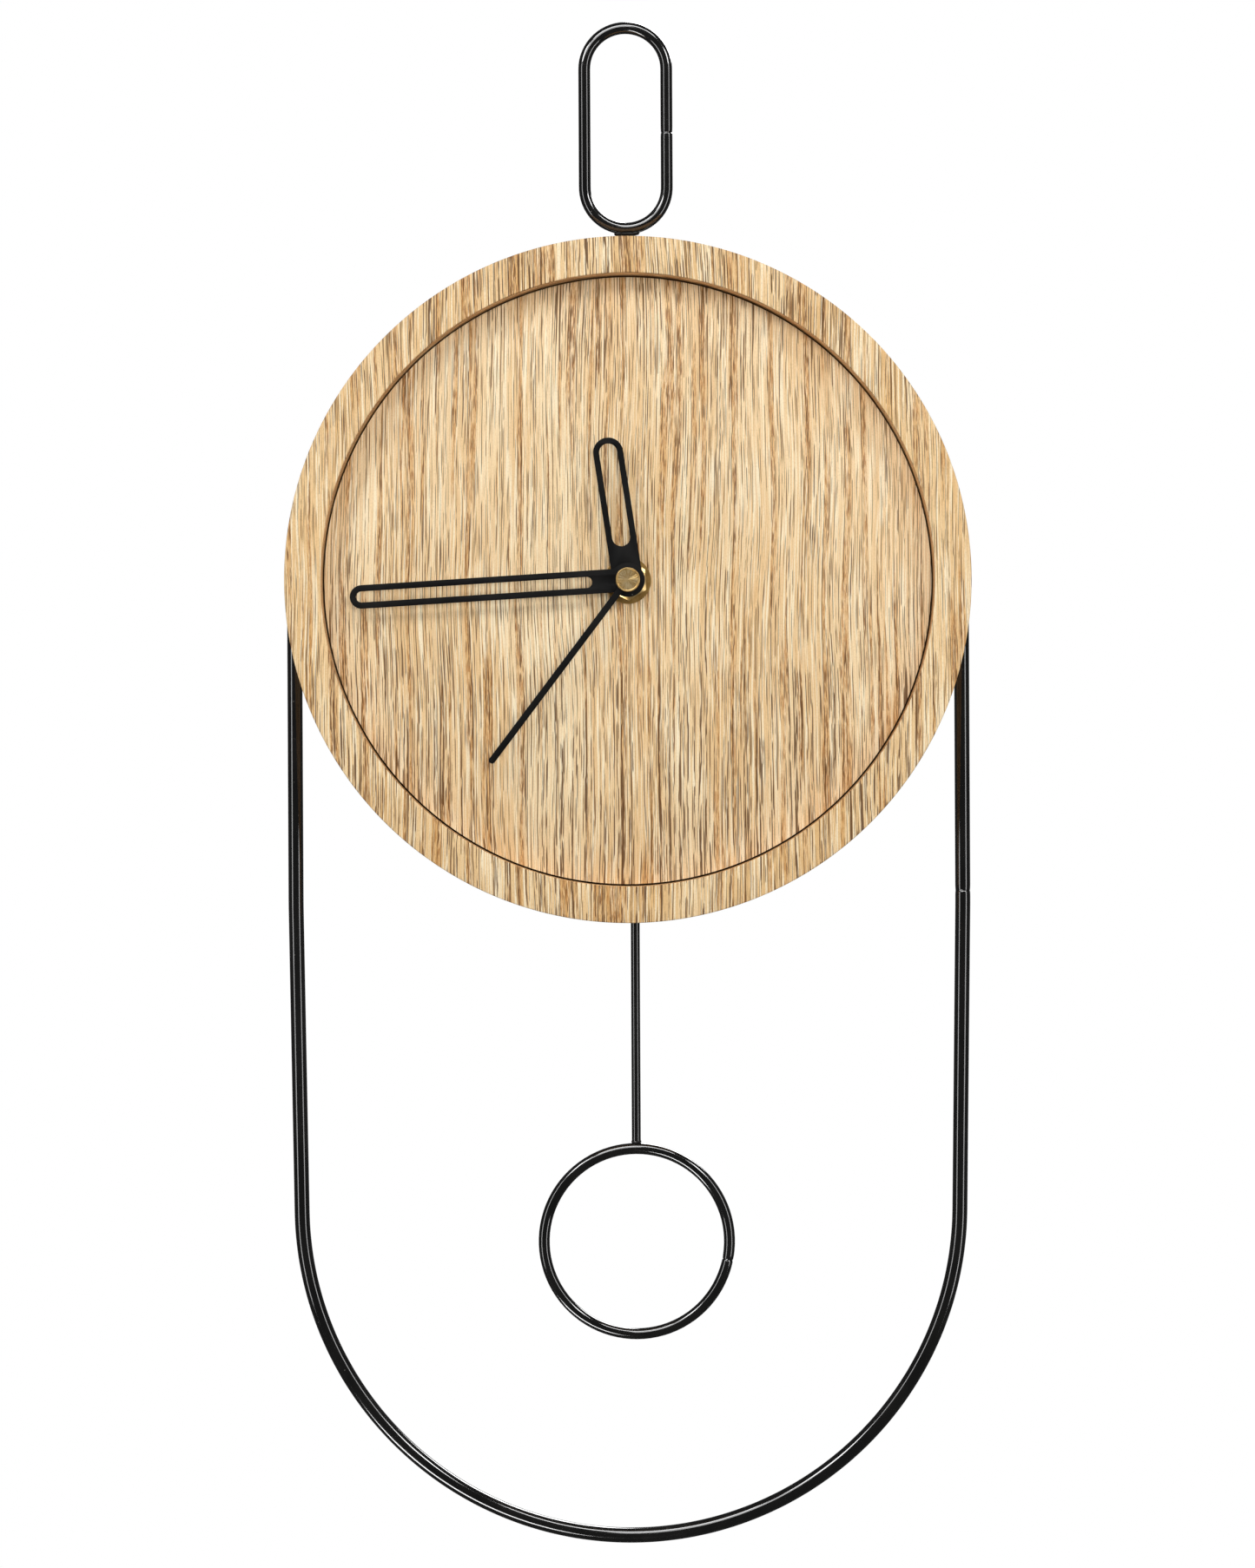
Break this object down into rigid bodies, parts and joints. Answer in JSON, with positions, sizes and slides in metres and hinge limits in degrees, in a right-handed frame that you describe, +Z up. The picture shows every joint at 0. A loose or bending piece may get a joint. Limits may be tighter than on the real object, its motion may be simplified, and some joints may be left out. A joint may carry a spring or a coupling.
{
  "type": "pendulum wall clock",
  "caption": "Round oak wall clock on a bent black steel rod frame with a hanging loop, slotted hands, a quartz movement and a free ring pendulum.",
  "frame": {"origin": "where the wall nail carries the clock: the top of the hanging loop's inner edge, in the plane of the wall", "axes": "+Z up; +Y into the wall, so the dial faces -Y; +X to the right as the viewer sees it. The wall is the plane y = 0."},
  "size_m": [0.2534, 0.034, 0.5652],
  "materials": {
    "black_steel": "semi-gloss powder coat",
    "oak_ring": "oak veneer, satin",
    "oak_dial": "oak veneer, satin",
    "black_hands": "matte black paint",
    "brass": "turned, lacquered",
    "rubber": "matte",
    "case_plastic": "moulded black",
    "gear_plastic": "moulded acetal",
    "knob_plastic": "moulded black",
    "zinc_steel": "zinc plated",
    "soft_iron": "punched lamination",
    "copper_wire": "enamelled copper winding",
    "board_resin": "phenolic board",
    "chip_resin": "cast resin",
    "magnet_ferrite": "sintered ferrite",
    "battery_sleeve": "plain printed sleeve, metal ends",
    "nickel_plate": "nickel plated"
  },
  "bodies": {
    "clock_body": {"wire_frame": "black_steel", "hanging_loop": "black_steel", "mounting_tab_upper_left": "black_steel", "mounting_tab_upper_right": "black_steel", "mounting_tab_lower_left": "black_steel", "mounting_tab_lower_right": "black_steel", "tab_screw_upper_left": "zinc_steel", "tab_screw_upper_right": "zinc_steel", "tab_screw_lower_left": "zinc_steel", "tab_screw_lower_right": "zinc_steel", "wood_ring": "oak_ring", "dial_plate": "oak_dial", "threaded_bush": "brass", "fixing_nut": "brass", "fixing_washer": "brass", "rubber_washer": "rubber", "movement_case": "case_plastic", "movement_rear_cover": "case_plastic", "cover_screw_1": "zinc_steel", "cover_screw_2": "zinc_steel", "cover_screw_3": "zinc_steel", "cover_screw_4": "zinc_steel", "stator_plate": "soft_iron", "motor_coil_core": "soft_iron", "motor_coil_bobbin": "gear_plastic", "motor_coil_winding": "copper_wire", "circuit_board": "board_resin", "clock_chip": "chip_resin", "quartz_crystal": "nickel_plate", "battery_cell": "battery_sleeve", "battery_contact_positive": "nickel_plate", "battery_contact_negative": "nickel_plate", "pendulum_coil": "copper_wire", "pendulum_pivot_pin": "zinc_steel"},
    "second_hand_body": {"second_hand": "black_hands", "second_hand_cap": "brass", "seconds_wheel": "gear_plastic"},
    "minute_hand_body": {"minute_hand": "black_hands", "minute_pipe": "knob_plastic"},
    "hour_hand_body": {"hour_hand": "black_hands", "hour_wheel": "gear_plastic"},
    "centre_wheel_body": {"centre_wheel": "gear_plastic"},
    "third_wheel_body": {"third_wheel": "gear_plastic"},
    "intermediate_wheel_body": {"intermediate_wheel": "gear_plastic"},
    "rotor_body": {"rotor_pinion": "gear_plastic", "rotor_magnet": "magnet_ferrite"},
    "setting_body": {"minute_wheel": "gear_plastic", "setting_knob": "knob_plastic"},
    "pendulum_body": {"pendulum_arm": "gear_plastic", "pendulum_magnet": "magnet_ferrite", "pendulum_rod": "black_steel", "pendulum_ring": "black_steel"}
  },
  "joints": [
    {"name": "second_hand_spin", "type": "hinge", "parent": "clock_body", "child": "second_hand_body", "pos_m": [0, -0.012, -0.2045], "axis": [0, 1, 0], "continuous": true},
    {"name": "rotor_spin", "type": "hinge", "parent": "clock_body", "child": "rotor_body", "pos_m": [-0.01193, -0.012, -0.18997], "axis": [0, 1, 0], "continuous": true},
    {"name": "intermediate_wheel_spin", "type": "hinge", "parent": "clock_body", "child": "intermediate_wheel_body", "pos_m": [-0.01043, -0.012, -0.19848], "axis": [0, 1, 0], "continuous": true},
    {"name": "third_wheel_spin", "type": "hinge", "parent": "clock_body", "child": "third_wheel_body", "pos_m": [0.00938, -0.012, -0.19663], "axis": [0, 1, 0], "continuous": true},
    {"name": "centre_wheel_spin", "type": "hinge", "parent": "clock_body", "child": "centre_wheel_body", "pos_m": [0, -0.012, -0.2045], "axis": [0, 1, 0], "continuous": true},
    {"name": "minute_hand_spin", "type": "hinge", "parent": "clock_body", "child": "minute_hand_body", "pos_m": [0, -0.012, -0.2045], "axis": [0, 1, 0], "continuous": true},
    {"name": "setting_knob_spin", "type": "hinge", "parent": "clock_body", "child": "setting_body", "pos_m": [-0.00983, -0.012, -0.21138], "axis": [0, 1, 0], "continuous": true},
    {"name": "hour_hand_spin", "type": "hinge", "parent": "clock_body", "child": "hour_hand_body", "pos_m": [0, -0.012, -0.2045], "axis": [0, 1, 0], "continuous": true},
    {"name": "pendulum_swing", "type": "hinge", "parent": "clock_body", "child": "pendulum_body", "pos_m": [0.0021, -0.0113, -0.2455], "axis": [0, 1, 0], "range_deg": [-8, 8]}
  ],
  "couplings": [
    {"joint": "rotor_spin", "follows": "second_hand_spin", "ratio": 30},
    {"joint": "intermediate_wheel_spin", "follows": "second_hand_spin", "ratio": -6},
    {"joint": "third_wheel_spin", "follows": "second_hand_spin", "ratio": -0.13333},
    {"joint": "centre_wheel_spin", "follows": "second_hand_spin", "ratio": 0.016667},
    {"joint": "setting_knob_spin", "follows": "minute_hand_spin", "ratio": -0.33333},
    {"joint": "hour_hand_spin", "follows": "minute_hand_spin", "ratio": 0.083333}
  ]
}
